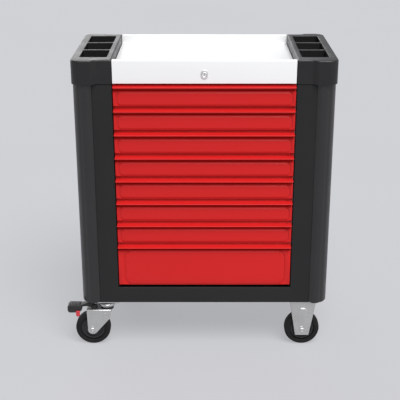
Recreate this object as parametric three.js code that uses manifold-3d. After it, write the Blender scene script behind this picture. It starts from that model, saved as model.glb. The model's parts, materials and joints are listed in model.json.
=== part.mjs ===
// Rolling tool chest: steel cabinet, eight drawers on telescopic slides, plastic corner cladding,
// two divided trays beside a recessed worktop, a central lock, two braked swivel casters on the
// left and two fixed casters on the right.
//
// Millimetres, +Z up, +X to the right of a person facing the drawers, +Y towards the back.
// Sizes below are measured from the chest's middle in X, the drawer faces in Y and the floor in Z.
// The group is then moved so that the origin is at the bottom centre of its bounding box.

import * as THREE from "three";
import { mergeVertices } from "three/addons/utils/BufferGeometryUtils.js";
import Module from "manifold-3d";

const wasm = await Module();
wasm.setup();

// ---- Driving dimensions -------------------------------------------------------------------

const CHEST_DEPTH = 448;
const BODY_HALF_WIDTH = 370;
const OPENING_HALF_WIDTH = 303;
const UNDERSIDE_Z = 177;
const OPENING_BOTTOM_Z = 235;
const BODY_TOP_Z = 967;
const RIM_Z = 1048;
const SHEET = 1.5;
const GAP = 0.3;

const WORKTOP_Z = 1019;
const WORKTOP_HALF_WIDTH = 300;
const FASCIA_BOTTOM_Z = 971;
const FRONT_LIP_DEPTH = 19;
const REAR_LIP_DEPTH = 14;

const DRAWER_COUNT = 8;
const DRAWER_PITCH = 81;
const FIRST_FACE_TOP_Z = 944;
const SMALL_FACE_HEIGHT = 51;
const LAST_FACE_BOTTOM_Z = 246;
const FRONT_HALF_WIDTH = 300;
const FRONT_DEPTH = 16;
const FRONT_ABOVE_FACE = 26.5;
const LIP_REACH = 12;
const GRIP_WALL_Y = 12;
const BOX_HALF_WIDTH = 285;
const BOX_BACK_Y = 420;

const SLIDE_FRONT_Y = 38;
const SLIDE_LENGTH = 400;
const SLIDE_BELOW_FACE_TOP = 14;

const CORNER_RADIUS = 50;
const CLADDING_HALF_WIDTH = 434;
const CLADDING_BULGE = 8;
const CLADDING_WALL = 4;
const CLADDING_INNER_X = BODY_HALF_WIDTH + 0.5;
const CLADDING_TOP_Z = 967.5;

const TRAY_INNER_X = 302;
const TRAY_OUTER_X = 436;
const TRAY_BULGE = 13;
const TRAY_BOTTOM_Z = 968;
const TRAY_WALL = 4;
const POCKET_X = [320, 410];
const POCKET_Y = [47, 413];
const POCKET_COUNT = 3;
const POCKET_DIVIDER = 9;
const POCKET_FLOOR_Z = 1008;

const LOCK_Z = 1001;
const LOCK_RADIUS = 9.5;

const SWIVEL_CASTER_X = 349;
const FIXED_CASTER_X = 351.5;
const CASTER_INSET_Y = 39;
const WHEEL_RADIUS = 62.5;
const TYRE_WIDTH = 38;
const SWIVEL_TRAIL = 53;
const AXLE_RADIUS = 6;
const LEG_OFFSET = 24;
const LEG_SHEET = 3;
const LEG_END_RADIUS = 17.5;
const PLATE_TOP_Z = UNDERSIDE_Z - GAP;
const PLATE_THICKNESS = 4;
const PLATE_HALF = { x: 47, y: 35 };
const PEDAL_REACH = 142;
const PEDAL_PIVOT = { x: -47, z: 152 };

// ---- Materials ----------------------------------------------------------------------------

function finish(color, roughness, metalness) {
  return new THREE.MeshStandardMaterial({ color, roughness, metalness });
}

const darkSteel = finish(0x2e2f31, 0.5, 0.3);
const redSteel = finish(0xcb2d2e, 0.35, 0.2);
const whiteSteel = finish(0xf5f5f5, 0.35, 0.1);
const darkPlastic = finish(0x3a3a3c, 0.6, 0.0);
const blackPlastic = finish(0x202122, 0.55, 0.0);
const zincSteel = finish(0xafafac, 0.35, 0.9);
const rubber = finish(0x323234, 0.8, 0.0);

// ---- Shape helpers ------------------------------------------------------------------------

function toSolid(geometry) {
  const bare = geometry.clone();
  bare.deleteAttribute("normal");
  bare.deleteAttribute("uv");
  const merged = mergeVertices(bare, 1e-4);
  return new wasm.Manifold(new wasm.Mesh({
    numProp: 3,
    vertProperties: new Float32Array(merged.attributes.position.array),
    triVerts: new Uint32Array(merged.index.array),
  }));
}

function join(...geometries) {
  return geometries.map(toSolid).reduce((sum, solid) => sum.add(solid));
}

function cut(solid, ...geometries) {
  return geometries.map(toSolid).reduce((rest, tool) => rest.subtract(tool), solid);
}

function toGeometry(solid) {
  const { vertProperties, triVerts } = solid.getMesh();
  const geometry = new THREE.BufferGeometry();
  geometry.setAttribute("position", new THREE.BufferAttribute(vertProperties, 3));
  geometry.setIndex(new THREE.BufferAttribute(triVerts, 1));
  geometry.computeVertexNormals();
  return geometry;
}

const chest = new THREE.Group();

function addPart(name, solid, material) {
  const mesh = new THREE.Mesh(toGeometry(solid), material);
  mesh.name = name;
  chest.add(mesh);
}

function block(x, y, z) {
  const geometry = new THREE.BoxGeometry(x[1] - x[0], y[1] - y[0], z[1] - z[0]);
  return geometry.translate((x[0] + x[1]) / 2, (y[0] + y[1]) / 2, (z[0] + z[1]) / 2);
}

function extrude(shape, depth, curveSegments = 8) {
  return new THREE.ExtrudeGeometry(shape, { depth, bevelEnabled: false, curveSegments });
}

function prismZ(shape, z) {
  return extrude(shape, z[1] - z[0]).translate(0, 0, z[0]);
}

// The shape's coordinates are (y, z) and it is swept along X.
function prismX(shape, x) {
  const turn = new THREE.Matrix4().makeBasis(
    new THREE.Vector3(0, 1, 0),
    new THREE.Vector3(0, 0, 1),
    new THREE.Vector3(1, 0, 0),
  );
  return extrude(shape, x[1] - x[0]).applyMatrix4(turn).translate(x[0], 0, 0);
}

// The shape's coordinates are (x, z) and it is swept along Y.
function prismY(shape, y) {
  const turn = new THREE.Matrix4().makeBasis(
    new THREE.Vector3(1, 0, 0),
    new THREE.Vector3(0, 0, 1),
    new THREE.Vector3(0, -1, 0),
  );
  return extrude(shape, y[1] - y[0]).applyMatrix4(turn).translate(0, y[1], 0);
}

function rodY(radius, x, z, y, segments = 16) {
  const rod = new THREE.CylinderGeometry(radius, radius, y[1] - y[0], segments);
  return rod.translate(x, (y[0] + y[1]) / 2, z);
}

function rodZ(radius, x, y, z, segments = 20) {
  const rod = new THREE.CylinderGeometry(radius, radius, z[1] - z[0], segments);
  return rod.rotateX(Math.PI / 2).translate(x, y, (z[0] + z[1]) / 2);
}

function outline(points) {
  return new THREE.Shape(points.map(([a, b]) => new THREE.Vector2(a, b)));
}

// Reflects a box range to the given side of the chest.
function sided(side, range) {
  return range.map((x) => side * x).sort((a, b) => a - b);
}

function mirrored(geometry, side) {
  if (side > 0) return toSolid(geometry);
  return toSolid(geometry).mirror([1, 0, 0]);
}

// ---- Cabinet shell ------------------------------------------------------------------------

const FRAME_FRONT_Y = 2;
const FRAME_BACK_Y = 22;
const RAIL_FRONT_Y = 6;
const RAIL_BOTTOM_Z = 982;
const RAIL_TOP_Z = WORKTOP_Z - SHEET - GAP;
const FRAME_SHEET = 2;

function frontFrame() {
  const face = outline([
    [-BODY_HALF_WIDTH, UNDERSIDE_Z], [BODY_HALF_WIDTH, UNDERSIDE_Z],
    [BODY_HALF_WIDTH, BODY_TOP_Z], [OPENING_HALF_WIDTH, BODY_TOP_Z],
    [OPENING_HALF_WIDTH, OPENING_BOTTOM_Z], [-OPENING_HALF_WIDTH, OPENING_BOTTOM_Z],
    [-OPENING_HALF_WIDTH, BODY_TOP_Z], [-BODY_HALF_WIDTH, BODY_TOP_Z],
  ]);
  const folded = join(prismY(face, [FRAME_FRONT_Y, FRAME_BACK_Y]));
  const behind = [FRAME_FRONT_Y + FRAME_SHEET, FRAME_BACK_Y + 1];
  const inner = OPENING_HALF_WIDTH + FRAME_SHEET;
  const outer = BODY_HALF_WIDTH - FRAME_SHEET;
  const low = UNDERSIDE_Z + FRAME_SHEET;
  const hollow = [
    block([-outer, -inner], behind, [low, BODY_TOP_Z - FRAME_SHEET]),
    block([inner, outer], behind, [low, BODY_TOP_Z - FRAME_SHEET]),
    block([-outer, outer], behind, [low, OPENING_BOTTOM_Z - FRAME_SHEET]),
  ];
  const rail = [RAIL_FRONT_Y, FRAME_BACK_Y];
  const head = join(
    block([-outer, outer], rail, [RAIL_BOTTOM_Z, RAIL_TOP_Z]),
    block([-outer, -inner], rail, [BODY_TOP_Z - FRAME_SHEET, RAIL_TOP_Z]),
    block([inner, outer], rail, [BODY_TOP_Z - FRAME_SHEET, RAIL_TOP_Z]),
  );
  const headHollow = block(
    [FRAME_SHEET - outer, outer - FRAME_SHEET],
    [RAIL_FRONT_Y + FRAME_SHEET, FRAME_BACK_Y + 1],
    [RAIL_BOTTOM_Z + FRAME_SHEET, RAIL_TOP_Z - FRAME_SHEET],
  );
  const lockBore = rodY(LOCK_RADIUS + 0.5, 0, LOCK_Z, [0, FRAME_BACK_Y + 1]);
  return cut(folded, ...hollow).add(cut(head, headHollow, lockBore));
}

const SLIDE_X = { cabinet: 298, middle: 295.5, drawer: 292 };
const POST_DEPTH = 30;

// A channel rail seen along Y: its web is at webX, its flanges reach to tipX.
function channel(side, webX, tipX, halfHeight, centreZ, y) {
  const away = Math.sign(tipX - webX);
  const shape = outline([
    [webX, centreZ - halfHeight], [tipX, centreZ - halfHeight],
    [tipX, centreZ - halfHeight + SHEET], [webX + away * SHEET, centreZ - halfHeight + SHEET],
    [webX + away * SHEET, centreZ + halfHeight - SHEET], [tipX, centreZ + halfHeight - SHEET],
    [tipX, centreZ + halfHeight], [webX, centreZ + halfHeight],
  ]);
  return mirrored(prismY(shape, y), side);
}

function faceTop(index) {
  return FIRST_FACE_TOP_Z - DRAWER_PITCH * index;
}

function slideCentre(index) {
  return faceTop(index) - SLIDE_BELOW_FACE_TOP;
}

function sidePanel(side) {
  const height = [UNDERSIDE_Z + 4, BODY_TOP_Z - FRAME_SHEET];
  const face = SLIDE_X.cabinet;
  const skin = [BODY_HALF_WIDTH - SHEET, BODY_HALF_WIDTH];
  let panel = join(block(sided(side, skin), [FRAME_BACK_Y + 0.5, CHEST_DEPTH - 4.5], height));
  const slideEnd = SLIDE_FRONT_Y + SLIDE_LENGTH;
  for (const start of [SLIDE_FRONT_Y, slideEnd - POST_DEPTH]) {
    const post = [start, start + POST_DEPTH];
    const span = sided(side, [face, BODY_HALF_WIDTH - SHEET / 2]);
    const channelBlock = join(block(span, post, height));
    const bore = sided(side, [face + SHEET, BODY_HALF_WIDTH - SHEET]);
    const open = block(bore, [post[0] + SHEET, post[1] - SHEET], [height[0] - 1, height[1] + 1]);
    panel = panel.add(cut(channelBlock, open));
  }
  for (let index = 0; index < DRAWER_COUNT; index += 1) {
    const rail = channel(side, face + SHEET / 2, 287.5, 21, slideCentre(index), [SLIDE_FRONT_Y, slideEnd]);
    panel = panel.add(rail);
  }
  return panel;
}

function backPanel() {
  return join(block(
    [-BODY_HALF_WIDTH, BODY_HALF_WIDTH],
    [CHEST_DEPTH - 4, CHEST_DEPTH - 2],
    [UNDERSIDE_Z, BODY_TOP_Z - FRAME_SHEET],
  ));
}

function floorPan() {
  const halfWidth = BODY_HALF_WIDTH;
  const y = [FRAME_BACK_Y + 0.5, CHEST_DEPTH - 4.5];
  const plate = block([-halfWidth, halfWidth], y, [UNDERSIDE_Z, UNDERSIDE_Z + 3]);
  const upstandZ = [UNDERSIDE_Z + 2, UNDERSIDE_Z + 30];
  const inside = [-SLIDE_X.cabinet + 2, SLIDE_X.cabinet - 2];
  const front = block(inside, [y[0] + 1, y[0] + 3], upstandZ);
  const rear = block(inside, [y[1] - 3, y[1] - 1], upstandZ);
  return join(plate, front, rear);
}

// Plan outline of the cladding: a curved front corner, a straight side and a curved rear corner.
function claddingOutline() {
  const inner = CLADDING_INNER_X;
  const centreX = CLADDING_HALF_WIDTH - CORNER_RADIUS;
  const frontY = CORNER_RADIUS - CLADDING_BULGE;
  const rearY = CHEST_DEPTH - frontY;
  const wall = CLADDING_WALL;
  const shape = new THREE.Shape();
  shape.moveTo(inner, FRAME_BACK_Y);
  shape.lineTo(inner, FRAME_FRONT_Y);
  shape.lineTo(centreX, -CLADDING_BULGE);
  shape.absarc(centreX, frontY, CORNER_RADIUS, -Math.PI / 2, 0, false);
  shape.absarc(centreX, rearY, CORNER_RADIUS, 0, Math.PI / 2, false);
  shape.lineTo(inner, CHEST_DEPTH - FRAME_FRONT_Y);
  shape.lineTo(inner, CHEST_DEPTH - FRAME_BACK_Y);
  shape.lineTo(inner + wall, CHEST_DEPTH - FRAME_BACK_Y);
  shape.lineTo(inner + wall, CHEST_DEPTH - FRAME_FRONT_Y - 1);
  shape.absarc(centreX + 2, rearY, CORNER_RADIUS - wall, Math.PI / 2, 0, true);
  shape.absarc(centreX + 2, frontY, CORNER_RADIUS - wall, 0, -Math.PI / 2, true);
  shape.lineTo(inner + wall, FRAME_FRONT_Y + 1);
  shape.lineTo(inner + wall, FRAME_BACK_Y);
  return shape;
}

// Plan outline of the plate that closes the cladding's lower end, reaching half-way into the wall.
function claddingFootOutline() {
  const inner = CLADDING_INNER_X + CLADDING_WALL / 2;
  const half = CLADDING_WALL / 2;
  const centreX = CLADDING_HALF_WIDTH - CORNER_RADIUS;
  const frontY = CORNER_RADIUS - CLADDING_BULGE;
  const shape = new THREE.Shape();
  shape.moveTo(inner, FRAME_FRONT_Y + half);
  shape.lineTo(centreX, half - CLADDING_BULGE);
  shape.absarc(centreX, frontY, CORNER_RADIUS - half, -Math.PI / 2, 0, false);
  shape.absarc(centreX, CHEST_DEPTH - frontY, CORNER_RADIUS - half, 0, Math.PI / 2, false);
  shape.lineTo(inner, CHEST_DEPTH - FRAME_FRONT_Y - half);
  return shape;
}

function cladding(side) {
  const wall = prismZ(claddingOutline(), [UNDERSIDE_Z, CLADDING_TOP_Z]);
  const foot = prismZ(claddingFootOutline(), [UNDERSIDE_Z + 1, UNDERSIDE_Z + CLADDING_WALL]);
  const whole = join(wall, foot);
  return side > 0 ? whole : whole.mirror([1, 0, 0]);
}

// ---- Worktop and trays --------------------------------------------------------------------

function worktop() {
  const bend = 4;
  const front = FRONT_LIP_DEPTH;
  const rear = CHEST_DEPTH - REAR_LIP_DEPTH;
  const inner = RIM_Z - SHEET;
  const under = WORKTOP_Z - SHEET;
  const profile = outline([
    [0, FASCIA_BOTTOM_Z], [0, RIM_Z - bend], [bend, RIM_Z], [front - bend, RIM_Z],
    [front - 1, RIM_Z - bend], [front, WORKTOP_Z], [rear, WORKTOP_Z], [rear + 1, RIM_Z - bend],
    [rear + bend, RIM_Z], [CHEST_DEPTH - bend, RIM_Z], [CHEST_DEPTH, RIM_Z - bend],
    [CHEST_DEPTH, BODY_TOP_Z], [CHEST_DEPTH - SHEET, BODY_TOP_Z],
    [CHEST_DEPTH - SHEET, inner - bend + 0.9], [CHEST_DEPTH - bend - 0.6, inner],
    [rear + bend + 0.6, inner], [rear + 1 + SHEET, inner - bend + 0.9],
    [rear + SHEET, under], [front - SHEET, under], [front - 1 - SHEET, inner - bend + 0.9],
    [front - bend - 0.6, inner], [bend + 0.6, inner], [SHEET, inner - bend + 0.9],
    [SHEET, FASCIA_BOTTOM_Z],
  ]);
  const sheet = join(prismX(profile, [-WORKTOP_HALF_WIDTH, WORKTOP_HALF_WIDTH]));
  return cut(sheet, rodY(LOCK_RADIUS + 0.5, 0, LOCK_Z, [-1, RAIL_FRONT_Y]));
}

// Plan outline of a tray cap, drawn for the right-hand side and shrunk by inset on every edge.
function trayOutline(inset) {
  const innerX = TRAY_INNER_X + inset;
  const front = inset;
  const bulge = inset - TRAY_BULGE;
  const stepX = 353;
  const bulgeX = 368;
  const radius = CORNER_RADIUS - inset;
  const centreX = TRAY_OUTER_X - CORNER_RADIUS;
  const centreY = CORNER_RADIUS - TRAY_BULGE;
  const shape = new THREE.Shape();
  shape.moveTo(innerX, front);
  shape.lineTo(stepX + inset * 0.3, front);
  shape.lineTo(bulgeX + inset * 0.3, bulge);
  shape.absarc(centreX, centreY, radius, -Math.PI / 2, 0, false);
  shape.absarc(centreX, CHEST_DEPTH - centreY, radius, 0, Math.PI / 2, false);
  shape.lineTo(bulgeX + inset * 0.3, CHEST_DEPTH - bulge);
  shape.lineTo(stepX + inset * 0.3, CHEST_DEPTH - front);
  shape.lineTo(innerX, CHEST_DEPTH - front);
  return shape;
}

function tray(side) {
  const deck = RIM_Z - 3;
  const shell = toSolid(prismZ(trayOutline(0), [TRAY_BOTTOM_Z, RIM_Z]));
  const hollow = prismZ(trayOutline(TRAY_WALL), [TRAY_BOTTOM_Z - 1, deck]);
  const lowerInside = block(
    [TRAY_INNER_X - 1, TRAY_INNER_X + TRAY_WALL + 1],
    [TRAY_WALL, CHEST_DEPTH - TRAY_WALL],
    [TRAY_BOTTOM_Z - 1, WORKTOP_Z - 1],
  );
  const pocketWall = 2.5;
  const pocketBlock = block(
    [POCKET_X[0] - pocketWall, POCKET_X[1] + pocketWall],
    [POCKET_Y[0] - pocketWall, POCKET_Y[1] + pocketWall],
    [POCKET_FLOOR_Z - 3, deck + 1],
  );
  const pitch = (POCKET_Y[1] - POCKET_Y[0] + POCKET_DIVIDER) / POCKET_COUNT;
  const pockets = [];
  for (let index = 0; index < POCKET_COUNT; index += 1) {
    const start = POCKET_Y[0] + index * pitch;
    pockets.push(block(POCKET_X, [start, start + pitch - POCKET_DIVIDER], [POCKET_FLOOR_Z, RIM_Z + 1]));
  }
  const whole = cut(cut(shell, hollow, lowerInside).add(toSolid(pocketBlock)), ...pockets);
  return side > 0 ? whole : whole.mirror([1, 0, 0]);
}

// ---- Central lock -------------------------------------------------------------------------

const LOCK_TAB_ABOVE_FACE = 17;
const LOCK_TAB_HEIGHT = 6;
const LOCK_BAR_X = [298.5, 303.5];
const LOCK_BAR_Y = [25, 33];

function lockBarrel() {
  const barrel = rodY(LOCK_RADIUS, 0, LOCK_Z, [-1, 24]);
  const head = rodY(LOCK_RADIUS + 2.5, 0, LOCK_Z, [-3.5, -GAP]);
  const lever = block([-5, 22], [22.8, 24.6], [LOCK_Z - 5, LOCK_Z + 5]);
  const keySlot = block([-1, 1], [-4, 6], [LOCK_Z - 4, LOCK_Z + 4]);
  return cut(join(barrel, head, lever), keySlot);
}

function lockBar() {
  const lowest = faceTop(DRAWER_COUNT - 1) + LOCK_TAB_ABOVE_FACE - 8;
  const top = LOCK_Z + 1;
  const tabs = [];
  for (let index = 0; index < DRAWER_COUNT; index += 1) {
    const z = faceTop(index) + LOCK_TAB_ABOVE_FACE;
    tabs.push(block([BOX_HALF_WIDTH + 2, LOCK_BAR_X[0] + 1], LOCK_BAR_Y, [z, z + LOCK_TAB_HEIGHT]));
  }
  return join(
    block(LOCK_BAR_X, LOCK_BAR_Y, [lowest, top]),
    block([16, LOCK_BAR_X[1]], [26, 29], [top - 12, top]),
    ...tabs,
  );
}

// ---- Drawers ------------------------------------------------------------------------------

function faceBottom(index) {
  if (index === DRAWER_COUNT - 1) return LAST_FACE_BOTTOM_Z;
  return faceTop(index) - SMALL_FACE_HEIGHT;
}

// Side view of a front: the face, a finger recess above it and the pull lip over the recess.
function frontOutline(top, bottom) {
  const reach = -LIP_REACH;
  const shape = new THREE.Shape();
  shape.moveTo(FRONT_DEPTH, bottom);
  shape.lineTo(0, bottom);
  shape.lineTo(0, top - 3);
  shape.quadraticCurveTo(0, top + 1, 4, top + 1.3);
  shape.quadraticCurveTo(GRIP_WALL_Y, top + 1.5, GRIP_WALL_Y, top + 5.5);
  shape.lineTo(GRIP_WALL_Y, top + 8);
  shape.quadraticCurveTo(GRIP_WALL_Y, top + 11.6, GRIP_WALL_Y - 4, top + 11.7);
  shape.lineTo(reach + 2.5, top + 12.2);
  shape.quadraticCurveTo(reach, top + 12.2, reach, top + 14.4);
  shape.quadraticCurveTo(reach, top + 16.5, reach + 3, top + 16.6);
  shape.quadraticCurveTo(GRIP_WALL_Y, top + 17.4, GRIP_WALL_Y, top + FRONT_ABOVE_FACE - 1);
  shape.lineTo(GRIP_WALL_Y, top + FRONT_ABOVE_FACE);
  shape.lineTo(FRONT_DEPTH, top + FRONT_ABOVE_FACE);
  return shape;
}

// The hollow behind the face and above the recess, which leaves the sheet and the lip.
function frontHollow(top, bottom) {
  const back = FRONT_DEPTH + 1;
  const inside = GRIP_WALL_Y + SHEET;
  return outline([
    [back, bottom + SHEET], [SHEET, bottom + SHEET], [SHEET, top - 2.4], [4, top - 0.4],
    [11, top + 0.1], [inside, top + 3], [inside, top + 12.4], [2, top + 13.6], [2, top + 16], [9, top + 18.4],
    [inside, top + 22.5], [inside, top + FRONT_ABOVE_FACE - SHEET], [back, top + FRONT_ABOVE_FACE - SHEET],
  ]);
}

function drawerFront(index) {
  const top = faceTop(index);
  const bottom = faceBottom(index);
  const solid = join(extrudeAlongX(frontOutline(top, bottom), FRONT_HALF_WIDTH));
  return cut(solid, extrudeAlongX(frontHollow(top, bottom), FRONT_HALF_WIDTH - SHEET));
}

function extrudeAlongX(shape, halfWidth) {
  const turn = new THREE.Matrix4().makeBasis(
    new THREE.Vector3(0, 1, 0),
    new THREE.Vector3(0, 0, 1),
    new THREE.Vector3(1, 0, 0),
  );
  return extrude(shape, 2 * halfWidth, 4).applyMatrix4(turn).translate(-halfWidth, 0, 0);
}

function drawerBox(index) {
  const z = [faceBottom(index) + 3, faceTop(index) + 16];
  const y = [FRONT_DEPTH + 0.4, BOX_BACK_Y];
  const outer = block([-BOX_HALF_WIDTH, BOX_HALF_WIDTH], y, z);
  const inside = BOX_HALF_WIDTH - SHEET;
  const inner = block([-inside, inside], [y[0] + SHEET, y[1] - SHEET], [z[0] + SHEET, z[1] + 1]);
  const lugZ = faceTop(index) + 9;
  const lug = block([inside, BOX_HALF_WIDTH + 3], [34, 40], [lugZ, lugZ + 5]);
  let box = cut(join(outer), inner).add(toSolid(lug).subtract(toSolid(inner)));
  for (const side of [-1, 1]) {
    const web = BOX_HALF_WIDTH - SHEET / 2;
    const rail = channel(side, web, SLIDE_X.drawer, 12.5, slideCentre(index), [SLIDE_FRONT_Y, BOX_BACK_Y]);
    box = box.add(rail);
  }
  return box;
}

function middleSlide(side, index) {
  const y = [SLIDE_FRONT_Y + 2, SLIDE_FRONT_Y + SLIDE_LENGTH - 2];
  return channel(side, SLIDE_X.middle, 288, 17.5, slideCentre(index), y);
}

// ---- Casters ------------------------------------------------------------------------------

function mountingPlate(x, y) {
  const { x: halfX, y: halfY } = PLATE_HALF;
  return block([x - halfX, x + halfX], [y - halfY, y + halfY], [PLATE_TOP_Z - PLATE_THICKNESS, PLATE_TOP_Z]);
}

function casterWheel(x, y) {
  const hub = LEG_OFFSET - 1.5;
  const half = TYRE_WIDTH / 2;
  const side = [
    [AXLE_RADIUS + GAP, hub], [15, hub], [17, 11], [38, 11],
    [44, half], [54, half], [WHEEL_RADIUS, half - 9],
  ];
  const profile = [
    ...side.map(([r, w]) => new THREE.Vector2(r, -w)),
    ...side.reverse().map(([r, w]) => new THREE.Vector2(r, w)),
  ];
  profile.push(profile[0].clone());
  return toSolid(new THREE.LatheGeometry(profile, 24).translate(x, y, WHEEL_RADIUS));
}

function axleBolt(x, y) {
  const outer = LEG_OFFSET + LEG_SHEET;
  return join(
    rodY(AXLE_RADIUS, x, WHEEL_RADIUS, [y - outer - 2, y + outer + 2]),
    rodY(AXLE_RADIUS + 4, x, WHEEL_RADIUS, [y - outer - 6, y - outer - GAP], 6),
    rodY(AXLE_RADIUS + 4, x, WHEEL_RADIUS, [y + outer + GAP, y + outer + 6], 6),
  );
}

function legPair(shape, y) {
  return [
    prismY(shape, [y - LEG_OFFSET - LEG_SHEET, y - LEG_OFFSET]),
    prismY(shape, [y + LEG_OFFSET, y + LEG_OFFSET + LEG_SHEET]),
  ];
}

function axleBore(x, y) {
  return rodY(AXLE_RADIUS + GAP, x, WHEEL_RADIUS, [y - 40, y + 40]);
}

const RACE_SPLIT_Z = 156;
const CROWN_Z = [139, 142];

function swivelPlate(x, y) {
  const race = rodZ(32, x, y, [RACE_SPLIT_Z, PLATE_TOP_Z - 1]);
  return cut(join(mountingPlate(x, y), race), rodZ(7, x, y, [RACE_SPLIT_Z - 1, PLATE_TOP_Z + 1]));
}

// The fork and the pedal are drawn about their kingpin with the wheel trailing along -X.
function swivelFork() {
  const axleX = -SWIVEL_TRAIL;
  const outer = LEG_OFFSET + LEG_SHEET;
  const shape = new THREE.Shape();
  shape.moveTo(15, CROWN_Z[1]);
  shape.lineTo(-72, CROWN_Z[1]);
  shape.lineTo(axleX - LEG_END_RADIUS, WHEEL_RADIUS + 10);
  shape.absarc(axleX, WHEEL_RADIUS, LEG_END_RADIUS, Math.PI * 0.93, Math.PI * 1.78, false);
  shape.lineTo(11, 109);
  const crown = block([-72, 15], [-outer, outer], CROWN_Z);
  const race = rodZ(28, 0, 0, [CROWN_Z[0], RACE_SPLIT_Z - 0.5]);
  const kingpin = rodZ(6.4, 0, 0, [CROWN_Z[0], PLATE_TOP_Z - 3], 12);
  const lugX = [PEDAL_PIVOT.x - 6, PEDAL_PIVOT.x + 6];
  const lugZ = [CROWN_Z[0], PEDAL_PIVOT.z + 6];
  const lugs = [block(lugX, [-19, -16], lugZ), block(lugX, [16, 19], lugZ)];
  const bores = [axleBore(axleX, 0), rodY(3.4, PEDAL_PIVOT.x, PEDAL_PIVOT.z, [-20, 20], 12)];
  return cut(join(crown, race, kingpin, ...legPair(shape, 0), ...lugs), ...bores);
}

function brakePedal() {
  const tip = -PEDAL_REACH;
  const pad = outline([
    [tip, 130], [tip + 6, 123], [tip + 42, 123], [tip + 52, 134], [tip + 52, 156],
    [tip + 46, 160], [tip + 6, 160], [tip, 154],
  ]);
  const arm = outline([
    [-36, 144], [-36, 163], [-47, 166], [-62, 164], [tip + 48, 158], [tip + 48, 149],
    [-72, 149], [-57, 144.3],
  ]);
  const pivot = rodY(3, PEDAL_PIVOT.x, PEDAL_PIVOT.z, [-18.5, 18.5], 12);
  return join(prismY(pad, [-19, 19]), prismY(arm, [-15, 15]), pivot);
}

function fixedBracket(x, y) {
  const top = PLATE_TOP_Z - 1;
  const shape = outline([
    [x + 47, top], [x - 47, top], [x - 46, top - 6], [x - 25, 48], [x - 20, 41], [x + 20, 41],
    [x + 25, 48], [x + 46, top - 6],
  ]);
  return cut(join(mountingPlate(x, y), ...legPair(shape, y)), axleBore(x, y));
}

// ---- Assembly -----------------------------------------------------------------------------

addPart("front_frame", frontFrame(), darkSteel);
addPart("back_panel", backPanel(), darkSteel);
addPart("floor_pan", floorPan(), darkSteel);
addPart("worktop", worktop(), whiteSteel);
for (const [label, side] of [["left", -1], ["right", 1]]) {
  addPart(`${label}_side_panel`, sidePanel(side), darkSteel);
  addPart(`${label}_cladding`, cladding(side), darkPlastic);
  addPart(`${label}_tray`, tray(side), darkPlastic);
}
addPart("lock_barrel", lockBarrel(), zincSteel);
addPart("lock_bar", lockBar(), zincSteel);

for (let index = 0; index < DRAWER_COUNT; index += 1) {
  const name = `drawer_${index + 1}`;
  addPart(`${name}_front`, drawerFront(index), redSteel);
  addPart(`${name}_box`, drawerBox(index), darkSteel);
  addPart(`${name}_slide_left`, middleSlide(-1, index), zincSteel);
  addPart(`${name}_slide_right`, middleSlide(1, index), zincSteel);
}

// Both swivel casters turn freely; at rest the front one trails outwards and the rear one inwards.
for (const [label, y, turn] of [
  ["front", CASTER_INSET_Y, 0], ["rear", CHEST_DEPTH - CASTER_INSET_Y, 180],
]) {
  const place = (solid) => solid.rotate([0, 0, turn]).translate([-SWIVEL_CASTER_X, y, 0]);
  addPart(`${label}_swivel_plate`, swivelPlate(-SWIVEL_CASTER_X, y), zincSteel);
  addPart(`${label}_swivel_fork`, place(swivelFork()), zincSteel);
  addPart(`${label}_swivel_wheel`, place(casterWheel(-SWIVEL_TRAIL, 0)), rubber);
  addPart(`${label}_swivel_axle`, place(axleBolt(-SWIVEL_TRAIL, 0)), zincSteel);
  addPart(`${label}_brake_pedal`, place(brakePedal()), blackPlastic);
  addPart(`${label}_fixed_bracket`, fixedBracket(FIXED_CASTER_X, y), zincSteel);
  addPart(`${label}_fixed_wheel`, casterWheel(FIXED_CASTER_X, y), rubber);
  addPart(`${label}_fixed_axle`, axleBolt(FIXED_CASTER_X, y), zincSteel);
}

chest.position.set((SWIVEL_CASTER_X + PEDAL_REACH - TRAY_OUTER_X) / 2, -CHEST_DEPTH / 2, 0);
chest.updateMatrixWorld(true);

export default chest;
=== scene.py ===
# Rolling tool chest: the looks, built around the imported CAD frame.
# Shapes are drawn in millimetres and become metres in Piece.mesh(). +Z is up and drawers open along -Y.
import json
import math

import bmesh
import bpy
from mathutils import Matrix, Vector
from mathutils.geometry import tessellate_polygon


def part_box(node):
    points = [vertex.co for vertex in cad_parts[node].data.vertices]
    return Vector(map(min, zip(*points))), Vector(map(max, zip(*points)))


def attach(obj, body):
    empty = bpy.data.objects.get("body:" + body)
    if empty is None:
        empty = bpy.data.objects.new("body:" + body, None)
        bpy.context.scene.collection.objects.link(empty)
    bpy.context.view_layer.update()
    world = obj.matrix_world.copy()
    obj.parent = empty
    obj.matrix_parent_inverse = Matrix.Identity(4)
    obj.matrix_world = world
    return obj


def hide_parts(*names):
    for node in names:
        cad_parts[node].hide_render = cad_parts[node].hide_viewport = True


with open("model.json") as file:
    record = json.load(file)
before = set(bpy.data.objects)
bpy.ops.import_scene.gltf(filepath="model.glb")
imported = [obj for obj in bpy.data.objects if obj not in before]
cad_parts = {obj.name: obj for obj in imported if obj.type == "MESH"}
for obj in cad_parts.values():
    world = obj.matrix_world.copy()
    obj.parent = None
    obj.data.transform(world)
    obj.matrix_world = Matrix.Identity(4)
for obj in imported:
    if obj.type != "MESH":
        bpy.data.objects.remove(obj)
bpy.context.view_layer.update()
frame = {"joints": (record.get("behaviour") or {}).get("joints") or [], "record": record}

MM = 0.001
DRAWER_COUNT = 8
BORE_REACH = 60
AXLE_BORE_RADIUS = 6.3
SHARPEST_MITRE = 0.35


# ---- Places taken from the frame ----------------------------------------------------------

def box(node):
    """The low and high corners of a CAD node in millimetres."""
    lo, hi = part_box(node)
    return lo / MM, hi / MM


def low(node):
    return box(node)[0]


def high(node):
    return box(node)[1]


def middle(node):
    lo, hi = box(node)
    return (lo + hi) / 2


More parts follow.
